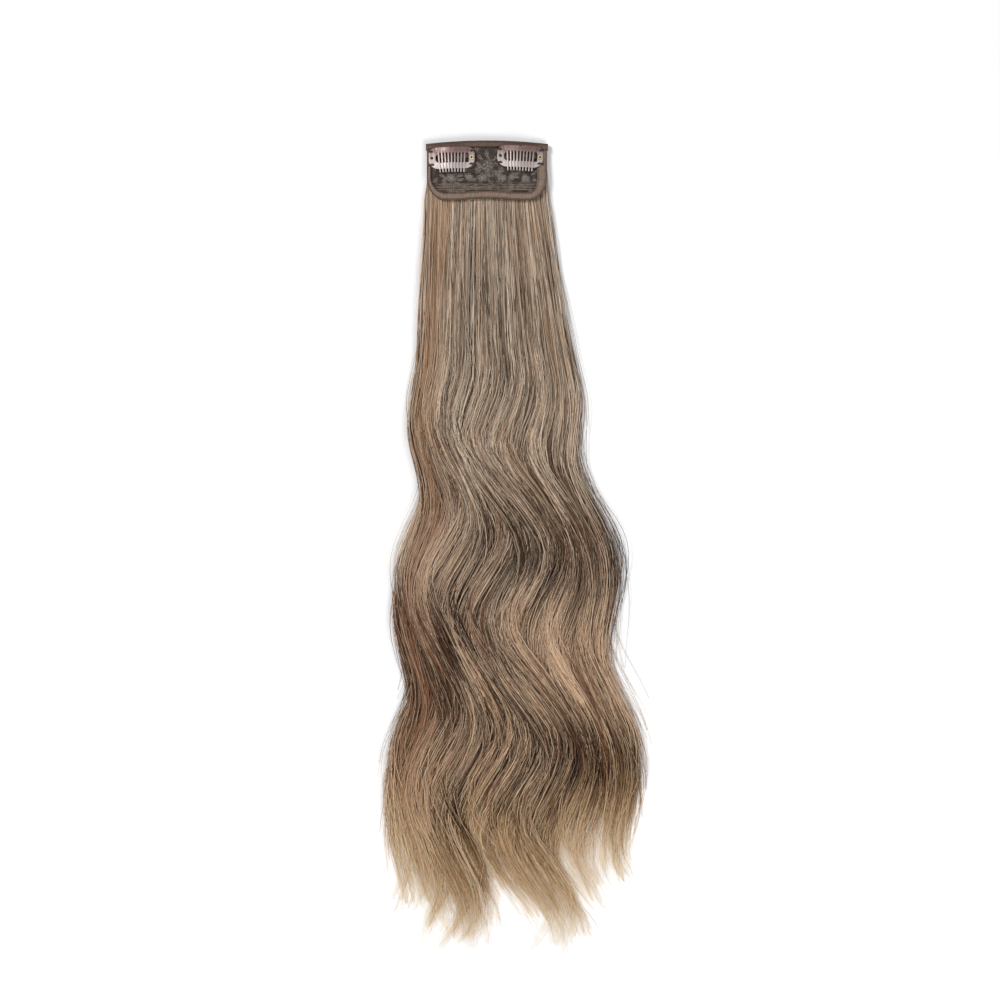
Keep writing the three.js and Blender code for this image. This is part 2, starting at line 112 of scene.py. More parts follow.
def lock_at(lock, down):
    """A lock's middle line, half width and height at distances down from the hem."""
    length = HAIR_LENGTH * lock["reach"]
    spread = np.maximum(down, 0) / length
    waves = smooth((down - WAVE_START) / WAVE_GROWTH)
    turn = 2 * np.pi * (down / WAVE_LENGTH - lock["wave"])
    taper = np.sin(np.pi / 2 * np.clip((length - down) / LOCK_TAPER_LENGTH, 0, 1))
    full = HAIR_PILE * lock["height"] * (1 + WAVE_LIFT * waves * np.cos(turn)) / (1 + WAVE_LIFT)
    height = HEM_LIFT + (full - HEM_LIFT) * smooth(down / LOCK_RISE_LENGTH)
    width = LOCK_WIDTH * lock["width"] * (1 + LOCK_FAN * spread)
    root_x = lock["root"] * HAIR_ROOT_SPREAD / 2
    tip_x = lock["tip"] * HAIR_TIP_SPREAD / 2 + HAIR_TIP_DRIFT
    x = root_x + (tip_x - root_x) * spread + lock["swing"] * WAVE_SWING * waves * np.sin(turn)
    half_width = (LOCK_TIP_WIDTH + (width - LOCK_TIP_WIDTH) * taper) / 2
    return x, half_width, LOCK_TIP_HEIGHT + (height - LOCK_TIP_HEIGHT) * taper


def put_in_scene(name, mesh, material, body):
    """A finished piece: a mesh in its material that rides on a body of the frame."""
    piece = bpy.data.objects.new(name, mesh)
    bpy.context.scene.collection.objects.link(piece)
    mesh.materials.clear()
    mesh.materials.append(material)
    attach(piece, body)
    return piece


class Wire:
    """The output of a node. Arithmetic on it adds Math nodes to its tree."""

    def __init__(self, tree, socket):
        self.tree, self.socket = tree, socket

    def math(self, operation, *others, clamp=False):
        settings = {"operation": operation, "use_clamp": clamp}
        values = dict(enumerate([self, *others]))
        return self.tree.node("ShaderNodeMath", settings, values)["Value"]

    def __add__(self, other):
        return self.math("ADD", other)

    def __sub__(self, other):
        return self.math("SUBTRACT", other)

    def __rsub__(self, other):
        return (self * -1) + other

    def __mul__(self, other):
        return self.math("MULTIPLY", other)

    def __truediv__(self, other):
        return self.math("DIVIDE", other)

    __radd__ = __add__
    __rmul__ = __mul__

    def smoothstep(self, low, high):
        settings = {"interpolation_type": "SMOOTHSTEP"}
        values = {"Value": self, "From Min": low, "From Max": high}
        return self.tree.node("ShaderNodeMapRange", settings, values)["Result"]


class Made:
    """A node that was made, whose outputs are read by name."""

    def __init__(self, tree, node):
        self.tree, self.node = tree, node

    def __getitem__(self, output):
        return Wire(self.tree, self.node.outputs[output])


class Tree:
    """A node tree of a material or of Geometry Nodes, built one node at a time."""

    def __init__(self, nodes):
        self.nodes = nodes

    def node(self, kind, settings=None, values=None, stops=None):
        made = self.nodes.nodes.new(kind)
        for name, setting in (settings or {}).items():
            setattr(made, name, setting)
        for place, stop in enumerate(stops or []):
            elements = made.color_ramp.elements
            element = elements[place] if place < len(elements) else elements.new(stop[0])
            element.position, element.color = stop[0], (*stop[1], 1)
        for name, value in (values or {}).items():
            if isinstance(value, Wire):
                self.nodes.links.new(value.socket, made.inputs[name])
            else:
                made.inputs[name].default_value = value
        return Made(self, made)

    def mix(self, factor, first, second):
        made = self.node("ShaderNodeMix", {"data_type": "RGBA"})
        for socket, value in zip((0, 6, 7), (factor, first, second)):
            if isinstance(value, Wire):
                self.nodes.links.new(value.socket, made.node.inputs[socket])
            else:
                made.node.inputs[socket].default_value = value if socket == 0 else (*value, 1)
        return Wire(self, made.node.outputs[2])

    def ramp(self, factor, stops):
        return self.node("ShaderNodeValToRGB", None, {"Fac": factor}, stops)["Color"]

    def attribute(self, name):
        return self.node("ShaderNodeAttribute", {"attribute_name": name})["Fac"]

    def noise(self, vector, scale, detail=3, roughness=0.55):
        values = {"Vector": vector, "Scale": scale, "Detail": detail, "Roughness": roughness}
        return self.node("ShaderNodeTexNoise", None, values)["Fac"]


def colour(code):
    """A colour written as on a screen, in the linear values that a shader takes."""
    shares = [int(code[place : place + 2], 16) / 255 for place in (0, 2, 4)]
    return tuple(((s + 0.055) / 1.055) ** 2.4 if s > 0.04045 else s / 12.92 for s in shares)


def surface(name, paint):
    """A material whose tree the given function fills in, with one shader at its end."""
    material = bpy.data.materials.new(name)
    material.use_nodes = True
    material.node_tree.nodes.clear()
    tree = Tree(material.node_tree)
    shader = tree.node("ShaderNodeBsdfPrincipled", None, paint(tree))
    tree.node("ShaderNodeOutputMaterial", None, {"Surface": shader["BSDF"]})
    return material


# Colours along a strand, from its root to its tip: dark strands, light strands, and warm ones
STRAND_PLACES = [0, 0.3, 0.55, 0.83, 0.92, 1]
STREAKS_IN_STRANDS = 2500
STREAKS_IN_BODY = 500
STREAK_CONTRAST = 0.45
DARK_STRAND = ["38230f", "2c1a0a", "180a02", "1c0d03", "c09261", "fbdfae"]
LIGHT_STRAND = ["f1ddc7", "f3dec6", "edcfb1", "edc9a4", "ffe6be", "fff4e1"]
WARM_STRAND = ["bd9068", "c1936a", "946245", "9a6747", "f6d2a4", "fff0d0"]


def hair_paint(streaks):
    """Hair colours, with a number of streaks across the rows of the piece's map."""

    def paint(tree):
        along = tree.attribute("along")
        dark, light, warm = [
            tree.ramp(along, [(place, colour(code)) for place, code in zip(STRAND_PLACES, codes)])
            for codes in (DARK_STRAND, LIGHT_STRAND, WARM_STRAND)
        ]
        row = tree.node("ShaderNodeUVMap", {"uv_map": "OFBake"})["UV"]
        values = {"Vector": row, "Scale": (25, streaks, 1)}
        streak = tree.noise(tree.node("ShaderNodeMapping", None, values)["Vector"], 1, detail=2)
        # The tone carries painted shade, highlight and sheen along with each strand's own lightness
        tone = (tree.attribute("tone") + (streak - 0.5) * STREAK_CONTRAST).math("ADD", 0, clamp=True)
        plain = tree.mix(tone, dark, light)
        values = {"Height": streak, "Strength": 0.35, "Distance": 0.0002}
        return {
            "Base Color": tree.mix(tree.attribute("warmth"), plain, warm),
            "Roughness": 0.42,
            "IOR": 1.45,
            "Specular IOR Level": 0.35,
            "Normal": tree.node("ShaderNodeBump", None, values)["Normal"],
        }

    return paint


hair_material = surface("wavy_hair", hair_paint(STREAKS_IN_STRANDS))
hair_inside_material = surface("hair_inside", hair_paint(STREAKS_IN_BODY))


def thread_tree():
    """Geometry Nodes that sweep an oval section along every line of a mesh of lines."""
    group = bpy.data.node_groups.new("threads_along_lines", "GeometryNodeTree")
    tree = Tree(group)
    sockets = [
        ("Lines", "NodeSocketGeometry"),
        ("Width", "NodeSocketFloat"),
        ("Height", "NodeSocketFloat"),
        ("Sides", "NodeSocketInt"),
        ("Material", "NodeSocketMaterial"),
    ]
    for name, kind in sockets:
        group.interface.new_socket(name, in_out="INPUT", socket_type=kind)
    group.interface.new_socket("Threads", in_out="OUTPUT", socket_type="NodeSocketGeometry")
    given = tree.node("NodeGroupInput")
    lines = tree.node("GeometryNodeMeshToCurve", None, {"Mesh": given["Lines"]})["Curve"]
    level = tree.node("GeometryNodeSetCurveNormal", {"mode": "Z_UP"}, {"Curve": lines})["Curve"]
    circle = tree.node(
        "GeometryNodeCurvePrimitiveCircle", None, {"Resolution": given["Sides"], "Radius": 0.5}
    )
    oval_size = tree.node("ShaderNodeCombineXYZ", None, {0: given["Width"], 1: given["Height"], 2: 1})
    oval = tree.node(
        "GeometryNodeTransform", None, {"Geometry": circle["Curve"], "Scale": oval_size["Vector"]}
    )
    place = tree.node("GeometryNodeInputIndex")["Index"] / given["Sides"]
    marked = tree.node(
        "GeometryNodeStoreNamedAttribute",
        {"data_type": "FLOAT", "domain": "POINT"},
        {"Geometry": oval["Geometry"], "Name": "around", "Value": place},
    )
    thickness = tree.node(
        "GeometryNodeInputNamedAttribute", {"data_type": "FLOAT"}, {"Name": "thickness"}
    )
    swept = tree.node(
        "GeometryNodeCurveToMesh",
        None,
        {
            "Curve": level,
            "Profile Curve": marked["Geometry"],
            "Scale": thickness["Attribute"],
            "Fill Caps": True,
        },
    )
    rounded = tree.node("GeometryNodeSetShadeSmooth", None, {"Geometry": swept["Mesh"]})
    real = tree.node("GeometryNodeRealizeInstances", None, {"Geometry": rounded["Geometry"]})
    painted = tree.node(
        "GeometryNodeSetMaterial",
        None,
        {"Geometry": real["Geometry"], "Material": given["Material"]},
    )
    tree.node("NodeGroupOutput", None, {"Threads": painted["Geometry"]})
    return group


def lines_mesh(name, points, values):
    """A mesh of open lines. points has a row for each line; values are spread over its points."""
    count, steps = points.shape[:2]
    mesh = bpy.data.meshes.new(name)
    first = np.arange(count * steps).reshape(count, steps)[:, :-1].ravel()
    mesh.from_pydata(points.reshape(-1, 3), np.stack([first, first + 1], 1), [])
    for key, value in values.items():
        spread = np.broadcast_to(value, (count, steps)).astype(np.float32)
        mesh.attributes.new(key, "FLOAT", "POINT").data.foreach_set("value", spread.ravel())
    return mesh


def grown_mesh(name, start, group, inputs):
    """What a Geometry Nodes group makes of a mesh, as a plain mesh."""
    carrier = bpy.data.objects.new(name, start)
    bpy.context.scene.collection.objects.link(carrier)
    modifier = carrier.modifiers.new(name, "NODES")
    modifier.node_group = group
    for socket in group.interface.items_tree:
        if socket.name in inputs:
            modifier[socket.identifier] = inputs[socket.name]
    bpy.context.view_layer.update()
    evaluated = carrier.evaluated_get(bpy.context.evaluated_depsgraph_get())
    mesh = bpy.data.meshes.new_from_object(evaluated)
    bpy.data.objects.remove(carrier)
    bpy.data.meshes.remove(start)
    mesh.name = name
    return mesh


def read(mesh, name):
    values = np.zeros(len(mesh.vertices), np.float32)
    mesh.attributes[name].data.foreach_get("value", values)
    return values


ROW_MARGIN = 0.1


def lay_out_rows(mesh, rows):
    """Gives every thread a row of its own in a UV map, with its length across the map.

    The last side of each ring ends where its first one starts, so its far edge is set to 1, not 0.
    """
    corners = np.zeros(len(mesh.loops), np.int32)
    mesh.loops.foreach_get("vertex_index", corners)
    sizes = np.zeros(len(mesh.polygons), np.int32)
    mesh.polygons.foreach_get("loop_total", sizes)
    face = np.repeat(np.arange(len(sizes)), sizes)
    around = read(mesh, "around")[corners]
    last = np.zeros(len(sizes), np.float32)
    np.maximum.at(last, face, around)
    closes_ring = (last[face] > 0.6) & (around < 0.01) & (sizes[face] == 4)
    around = np.where(closes_ring, 1, around)
    row = (read(mesh, "strand")[corners] + ROW_MARGIN + (1 - 2 * ROW_MARGIN) * around) / rows
    layer = mesh.uv_layers.new(name="OFBake")
    layer.data.foreach_set("uv", np.stack([read(mesh, "along")[corners], row], 1).ravel())


threads_along_lines = thread_tree()


def threads(name, points, values, material, width, height, sides):
    """A piece of threads that rides on the weft's body, with one thread along each line of points."""
    values["strand"] = np.arange(len(points))[:, None]
    inputs = {"Width": width, "Height": height, "Sides": sides, "Material": material}
    mesh = grown_mesh(name, lines_mesh(name, points, values), threads_along_lines, inputs)
    return put_in_scene(name, mesh, material, "weft")


STRAND_WIDTH = 0.46 * MM
STRAND_HEIGHT = 0.4 * MM
STRAND_SIDES = 3
STRANDS_IN_WISP = 28
WISPS = 135
WISP_PLACES = (-1.12, 1.1)
WISP_FAN = 0.8
CROSSING_WISPS = 5
CROSSING_ASIDE = 0.75
HAIR_PIECES = 5
ROW_STARTS = [34 * MM, 22 * MM, 10 * MM]
ROW_CLEARANCE = 0.7 * MM
HEM_RISE = 0.3
HAIR_SIDE_INSET = 1.5 * MM
HAIR_SIDE_FAN = 0.35
WISP_HALF_WIDTH = 4.2 * MM
GATHER_START = 60 * MM
GATHER_LENGTH = 150 * MM
STRAIGHT_POINTS = 5
WAVY_POINTS = 29

# Strands that end early, that part from their wisp at the tip, or that lie astray over the rest
SHORT_SHARE = 0.16
SHORT_REACH = (0.72, 0.97)
TIP_SHARE = 0.2
TIP_SCATTER = 2.4 * MM
TIP_THINNING = 0.62
STRAY_SHARE = 0.025
STRAY_DEPTH = 1.3
STRAY_DRIFT = 7 * MM
FRIZZ_LENGTHS_MM = (55, 120)

# How deep a strand lies in the pile, from 0 at the surface below to about 1 at the top
FULL_DEPTH = 0.9
DEPTH_PAST = 0.15
WEAVE_LENGTHS_MM = (110, 200)
FINE_WEAVE_LENGTHS_MM = (120, 220)
EMERGING_START = 100 * MM
EMERGING_LENGTH = 110 * MM

# Painted shade and highlight along the folds and waves of the hair and deeper in the pile, and the slanted
# band of painted sheen over its middle
FOLD_LENGTH = 185 * MM
LOOSE_START = 30 * MM
LOOSE_LENGTH = 170 * MM
SHEEN_PLACE = 266 * MM
SHEEN_SLANT = 0.85
SHEEN_LENGTH = 150 * MM
SHEEN_REACH = 55 * MM
SHEEN_STRENGTH = 0.44
TONE_MIDDLE = 0.37
TONE_SCATTER = 0.56
GOLDEN_PLACE = -0.92
GOLDEN_WIDTH = 0.14
WARM_SHARE = 0.06


def wisp_locks():
    """The lock that each wisp follows: the falling locks blended by place, then the crossing ones."""
    known = np.array(FALLING_LOCKS)
    place = np.linspace(*WISP_PLACES, WISPS) + chance.normal(0, 0.012, WISPS)
    falling = {
        name: np.interp(place, known[:, 0], known[:, column])
        for column, name in enumerate(LOCK_COLUMNS)
    }
    falling["root"] = place
    past_table = place - np.clip(place, known[0, 0], known[-1, 0])
    falling["tip"] = falling["tip"] + past_table * WISP_FAN
    falling["aside"] = np.zeros(WISPS)
    crossing = {name: [] for name in falling}
    for row in CROSSING_LOCKS:
        for aside in np.linspace(-CROSSING_ASIDE, CROSSING_ASIDE, CROSSING_WISPS):
            for name, value in [*as_lock(row).items(), ("aside", aside)]:
                crossing[name].append(value)
    return {name: np.concatenate([falling[name], crossing[name]]) for name in falling}


def strand_lines():
    """Every strand's points from its sewn root to its tip, with the values that its colour follows."""
    # The wisps: how each one departs from the locks that it follows
    wisps = wisp_locks()
    count = len(wisps["root"])
    crossing = np.arange(count) >= WISPS
    wisps["wave"] = wisps["wave"] + chance.normal(0, 0.03, count)
    wisps["swing"] = wisps["swing"] * chance.uniform(0.85, 1.12, count)
    wisps["reach"] = wisps["reach"] * (1 - 0.07 * chance.random(count) ** 2)
    edge = np.clip(np.abs(wisps["root"]) - 0.8, 0, 0.3) / 0.3
    layer = chance.uniform(0.55 - 0.4 * edge, 1.0 - 0.3 * edge)
    layer = np.where(crossing, chance.uniform(0.95, 1.04, count), layer)
    bands = 0.13 * np.sin(wisps["root"] * 17 + 1.2) + 0.09 * np.sin(wisps["root"] * 31)
    # Painted shade and highlight: wisps that lie deeper are painted darker, and the wisps at the sides
    # paler, as a highlight along the edges
    wisp_tone = chance.normal(0, 0.14, count) + 0.3 * (layer - 0.75) + bands + 0.32 * edge
    wisp_warmth = np.clip(chance.normal(0.05, 0.16, count), 0, 0.6)
    phase = chance.uniform(0, 2 * np.pi, count)
    fold = np.cumsum(chance.normal(0, 0.24, count))

    # The strands: their reach, and their points down from the row that they are sewn in
    owner = np.repeat(np.arange(count), STRANDS_IN_WISP)
    strands = len(owner)

    def per_strand(values):
        return values[owner][:, None]

    def scatter(size):
        return chance.normal(0, size, (strands, 1))

    def between(low, high):
        return chance.uniform(low, high, (strands, 1))

    lock = {name: per_strand(values) for name, values in wisps.items()}
    wisp_length = HAIR_LENGTH * lock["reach"]
    lock["reach"] = lock["reach"] * (1 - 0.15 * between(0, 1) ** 2)
    short = between(0, 1) < SHORT_SHARE
    lock["reach"] = np.where(short, lock["reach"] * between(*SHORT_REACH), lock["reach"])
    lock["wave"] = lock["wave"] + scatter(0.012)

    start = -chance.choice(ROW_STARTS, (strands, 1))
    straight = np.linspace(0, WAVE_START, STRAIGHT_POINTS)
    straight = np.broadcast_to(straight, (strands, STRAIGHT_POINTS))
    wavy = np.linspace(0, 1, WAVY_POINTS + 1)[1:]
    length = HAIR_LENGTH * lock["reach"]
    down = np.concatenate([start, straight, WAVE_START + (length - WAVE_START) * wavy], 1)
    share = np.clip(down / length, 0, 1)
    lock["wave"] = lock["wave"] + per_strand(chance.normal(0, 0.08, count)) * share
    x, half_width, height = lock_at(lock, down)

    # Across: each strand's place in its wisp's section, its frizz, and what has come astray
    swell = 1 + 0.25 * np.sin(2 * np.pi * down / (0.8 * WAVE_LENGTH) + per_strand(phase))
    near_tip = smooth((share - (1 - TIP_SHARE)) / TIP_SHARE)
    point = 1 - 0.45 * near_tip
    gathered = 1 - 0.25 * smooth((down - GATHER_START) / GATHER_LENGTH)
    wisp_half = WISP_HALF_WIDTH * gathered * swell * point
    angle = between(0, 2 * np.pi)
    out = np.sqrt(between(0, 1))
    x = x + lock["aside"] * half_width + out * np.cos(angle) * wisp_half
    frizz = (0.7 + 1.6 * share) * MM * between(0, 1) * smooth((down + 20 * MM) / (60 * MM))
    frizz_length = between(*FRIZZ_LENGTHS_MM) * MM
    x = x + frizz * np.sin(2 * np.pi * down / frizz_length + between(0, 2 * np.pi))
    x = x + scatter(TIP_SCATTER) * near_tip
    stray = between(0, 1) < STRAY_SHARE
    x = x + stray * scatter(STRAY_DRIFT) * share
    limit = BASE_HALF_WIDTH - HAIR_SIDE_INSET + HAIR_SIDE_FAN * np.maximum(down + 14 * MM, 0)
    x = np.clip(x, -limit, limit)

    # Up: each strand's depth in the pile, which weaves over and under that of its neighbours
    y = HEM_Y - down
    ceiling = underside_at(x, np.maximum(y, HEM_Y)) - ROW_CLEARANCE + HEM_RISE * np.maximum(down, 0)
    weave_length = per_strand(chance.uniform(*WEAVE_LENGTHS_MM, count)) * MM
    weave = 0.12 * np.sin(2 * np.pi * down / weave_length + 2 * per_strand(phase))
    fine_length = between(*FINE_WEAVE_LENGTHS_MM) * MM
    weave = weave + 0.05 * np.sin(2 * np.pi * down / fine_length + between(0, 2 * np.pi))
    turn = 2 * np.pi * (down / WAVE_LENGTH - lock["wave"])
    weave = weave + 0.12 * np.cos(turn) * smooth((down - WAVE_START) / WAVE_GROWTH)
    emerging = per_strand(crossing) * (1 - smooth((down - EMERGING_START) / EMERGING_LENGTH))
    depth = per_strand(layer) + scatter(0.1) + weave - 0.7 * emerging
    depth = np.where(stray, STRAY_DEPTH, depth)
    past = np.maximum(depth - FULL_DEPTH, 0)
    depth = np.clip(depth, 0.05, FULL_DEPTH) + DEPTH_PAST * (1 - np.exp(-past / DEPTH_PAST))
    z = np.clip(np.minimum(height, ceiling) * depth, STRAND_HEIGHT / 2 + 0.1 * MM, ceiling)

    # Colour: how light and how warm each strand is, and where the painted shade and highlight of the waves,
    # folds and depth, and the painted sheen, change that
    loose = smooth((down - LOOSE_START) / LOOSE_LENGTH)
    folds = np.sin(2 * np.pi * down / FOLD_LENGTH + per_strand(fold))
    # Painted light and shade: paler and darker bands over the waves and folds, and darker the deeper a
    # strand lies in the pile
    light = 0.22 * np.cos(turn + 2.25) + 0.29 * folds + 0.8 * (depth - 0.85) - 0.13
    # Painted sheen: a slanted band of painted highlight, with a band of painted shade just below it
    below = down - SHEEN_PLACE - SHEEN_SLANT * x
    sheen = np.exp(-(((below - SHEEN_LENGTH / 4) / SHEEN_REACH) ** 2))
    light = light + SHEEN_STRENGTH * sheen * np.cos(2 * np.pi * below / SHEEN_LENGTH)
    golden_edge = np.exp(-(((lock["root"] - GOLDEN_PLACE) / GOLDEN_WIDTH) ** 2))
    tone = TONE_MIDDLE + per_strand(wisp_tone) * (0.45 + 0.55 * loose) + 0.25 * golden_edge
    tone = tone + scatter(1) * TONE_SCATTER + light * loose + 0.3 * stray
    tone = 0.5 + 0.5 * np.tanh(2 * (tone - 0.5))
    warmth = per_strand(wisp_warmth) + scatter(0.1) + 0.5 * golden_edge
    warmth = warmth + 0.5 * (between(0, 1) < WARM_SHARE)
    thickness = between(0.7, 1.2) * (1 - TIP_THINNING * near_tip) * np.where(stray, 0.5, 1)
    values = {
        "along": np.clip(down / wisp_length + scatter(0.03), 0, 1),
        "tone": tone,
        "warmth": np.clip(warmth, 0, 1),
        "thickness": thickness,
    }
    return np.stack([x, y, z], 2), values


def hair_pieces():
    """The strands in a few pieces, each a share of every wisp so that no piece is too large."""
    points, values = strand_lines()
    for number in range(HAIR_PIECES):
        rows = slice(number, None, HAIR_PIECES)
        part = {name: value[rows] for name, value in values.items()}
        name = f"hair_strands_{number + 1}"
        size = (STRAND_WIDTH, STRAND_HEIGHT, STRAND_SIDES)
        strands = threads(name, points[rows], part, hair_material, *size)
        lay_out_rows(strands.data, len(points[rows]))


hair_pieces()

LOCK_HALF_SECTION = [(1, 0), (0.93, 0.4), (0.7, 0.8), (0.35, 1)]
BODY_STEPS = 60
BODY_START = -36 * MM
BODY_WIDTH_SHARE = 0.86
BODY_HEIGHT_SHARE = 0.5
BODY_LENGTH_SHARE = 0.86
BODY_LIFT = 0.2 * MM
# The body is painted in the darkest strand colour, partly the hair's own dark strands and partly painted
# shade deep in the pile
BODY_TONE = 0.1


def hair_body():
    """The low body of hair inside the strands: one closed lock for the under layer and for each falling
    lock.
    """
    section = np.array(LOCK_HALF_SECTION + [(-across, up) for across, up in reversed(LOCK_HALF_SECTION)])
    sides = len(section)
    rows = [UNDER_LAYER, *FALLING_LOCKS]
    vertices, faces, values = [], [], []
    for number, row in enumerate(rows):
        lock = as_lock(row)
        length = HAIR_LENGTH * lock["reach"]
        end = length * BODY_LENGTH_SHARE
        down = np.linspace(BODY_START, end, BODY_STEPS)
        x, half_width, height = lock_at(lock, down)
        y = HEM_Y - down
        point = np.sin(np.pi / 2 * np.clip((end - down) / LOCK_TAPER_LENGTH, 0.02, 1))
        ceiling = underside_at(x, np.maximum(y, HEM_Y)) - 2 * ROW_CLEARANCE
        ceiling = ceiling + HEM_RISE * np.maximum(down, 0)
        z = np.minimum(height * BODY_HEIGHT_SHARE, ceiling) * point
        across = section[:, 0] * (half_width * point * BODY_WIDTH_SHARE)[:, None]
        rise = BODY_LIFT + section[:, 1] * z[:, None]
        first = len(vertices)
        ring = np.stack([x[:, None] + across, np.broadcast_to(y[:, None], across.shape), rise], 2)
        vertices.extend(ring.reshape(-1, 3))
        for share in down / length:
            values.extend([(max(share, 0), number, side / sides) for side in range(sides)])
        for step in range(BODY_STEPS - 1):
            for side in range(sides):
                a = first + step * sides + side
                b = first + step * sides + (side + 1) % sides
                faces.append((a, b, b + sides, a + sides))
        faces.append(tuple(range(first + sides - 1, first - 1, -1)))
        faces.append(tuple(range(first + (BODY_STEPS - 1) * sides, first + BODY_STEPS * sides)))
    mesh = bpy.data.meshes.new("hair_body")
    mesh.from_pydata(vertices, [], faces)
    mesh.polygons.foreach_set("use_smooth", [True] * len(faces))
    along, strand, around = np.array(values).T
    for name, value in [("along", along), ("strand", strand), ("around", around)]:
        mesh.attributes.new(name, "FLOAT", "POINT").data.foreach_set("value", value)
    for name, value in [("tone", BODY_TONE), ("warmth", 0.0)]:
        spread = np.full(len(vertices), value)
        mesh.attributes.new(name, "FLOAT", "POINT").data.foreach_set("value", spread)
    lay_out_rows(mesh, len(rows))
    return mesh


body_piece = put_in_scene("hair_body", hair_body(), hair_inside_material, "weft")
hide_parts("hair")


# The lace base
# A panel of warp knitted lace, two layers thick, that carries the rows of hair. The rows are sewn to
# its underside, so their tracks stand out as ridges, and heavier threads draw flowers on its net.

LACE_INSET = 1.3 * MM
LACE_THICKNESS = 1 * MM
TOP_BOW = 2.3 * MM
CORNER_ACROSS = 13 * MM
CORNER_UP = 16.5 * MM
HEM_RISE_MIDDLE = 1.3 * MM
TRACKS = [4.5 * MM, -2.1 * MM, -8.4 * MM]
TRACK_RISE = 0.4 * MM
TRACK_HALF_WIDTH = 0.9 * MM
PUCKER_RISE = 0.08 * MM


def top_edge_at(x):
    return BASE_HALF_HEIGHT - TOP_BOW * (x / BASE_HALF_WIDTH) ** 2


def lace_rise(x, y):
    """How far the lace stands over its plain surface: the tracks and soft puckers between them."""
    tracks = sum(np.exp(-(((y - track) / TRACK_HALF_WIDTH) ** 2)) for track in TRACKS)
    pucker = np.sin(x / (2.3 * MM) + 2 * np.sin(y / (3 * MM))) * np.sin(y / (2.1 * MM))
    return TRACK_RISE * tracks + PUCKER_RISE * pucker


def closed_slab(name, top, bottom):
    """A closed sheet between two grids of points, each a row of stations by points across."""
    rows, columns = top.shape[:2]
    count = rows * columns
    faces = []
    for row in range(rows - 1):
        for column in range(columns - 1):
            a = row * columns + column
            face = (a, a + columns, a + columns + 1, a + 1)
            faces.append(face)
            faces.append(tuple(count + corner for corner in reversed(face)))
    rim = list(range(columns))
    rim += [row * columns + columns - 1 for row in range(1, rows)]
    rim += [(rows - 1) * columns + column for column in range(columns - 2, -1, -1)]
    rim += [row * columns for row in range(rows - 2, 0, -1)]
    for a, b in zip(rim, rim[1:] + rim[:1]):
        faces.append((a, b, count + b, count + a))
    mesh = bpy.data.meshes.new(name)
    mesh.from_pydata(np.concatenate([top.reshape(-1, 3), bottom.reshape(-1, 3)]), [], faces)
    mesh.polygons.foreach_set("use_smooth", [True] * len(faces))
    mesh.update()
    mesh.set_sharp_from_angle(angle=np.radians(50))
    return mesh


def lace_grid(columns=151, rows=65):
    """Places over the whole panel, in columns from its left side to its right one."""
    half = BASE_HALF_WIDTH - LACE_INSET
    x = np.linspace(-half, half, columns)
    across, up = CORNER_ACROSS - LACE_INSET, CORNER_UP - LACE_INSET
    round_part = np.clip((np.abs(x) - (half - across)) / across, 0, 1)
    low = HEM_Y + LACE_INSET + up * (1 - np.sqrt(1 - round_part**2))
    high = top_edge_at(x) - LACE_INSET
    share = np.linspace(0, 1, rows)
    y = low[:, None] + (high - low)[:, None] * share
    return np.broadcast_to(x[:, None], y.shape), y


NET_HOLES_PER_METRE = 780
LOW_BAND = -6.5 * MM
LOW_BAND_FADE = 4 * MM


def net_paint(tree):
    """Fine net over the dark hair below, closer in patches, and browner towards the hem."""
    place = tree.node("ShaderNodeTexCoord")["Object"]
    flat = tree.node("ShaderNodeMapping", None, {"Vector": place, "Scale": (1, 1, 0)})["Vector"]
    values = {"Vector": flat, "Scale": NET_HOLES_PER_METRE, "Randomness": 0.35}
    settings = {"feature": "DISTANCE_TO_EDGE", "voronoi_dimensions": "2D"}
    holes = tree.node("ShaderNodeTexVoronoi", settings, values)["Distance"]
    thread = 1 - holes.smoothstep(0.06, 0.2)
    patches = tree.noise(flat, 160, detail=5, roughness=0.65).smoothstep(0.46, 0.64)
    dense = thread.math("MAXIMUM", patches * 0.6)
    stretch = tree.node("ShaderNodeMapping", None, {"Vector": flat, "Scale": (60, 900, 1)})["Vector"]
    rows = tree.noise(stretch, 1)
    under = tree.mix(rows.smoothstep(0.3, 0.6), colour("0c0806"), colour("46382e"))
    yarn = tree.mix(patches, colour("342a26"), colour("877c75"))
    up_panel = tree.node("ShaderNodeSeparateXYZ", None, {"Vector": place})["Y"]
    brown = up_panel.smoothstep(LOW_BAND, LOW_BAND - LOW_BAND_FADE)
    yarn = tree.mix(brown * rows.smoothstep(0.42, 0.6), yarn, colour("85705f"))
    values = {"Height": dense, "Strength": 0.6, "Distance": 0.0003}
    return {
        "Base Color": tree.mix(dense, under, yarn),
        "Roughness": 0.85,
        "Normal": tree.node("ShaderNodeBump", None, values)["Normal"],
    }


def lace_panel():
    x, y = lace_grid()
    low = underside_at(x, y)
    top = np.stack([x, y, low + LACE_THICKNESS + lace_rise(x, y)], 2)
    bottom = np.stack([x, y, low], 2)
    panel = put_in_scene(
        "lace_net", closed_slab("lace_net", top, bottom), surface("lace_net", net_paint), "weft"
    )
    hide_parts("lace_panel")
    area = float(np.sum((y[:-1, -1] - y[:-1, 0]) * np.diff(x[:, 0])))
    return panel, (float(np.ptp(x)), float(np.ptp(y))), area


lace, lace_size, lace_area = lace_panel()

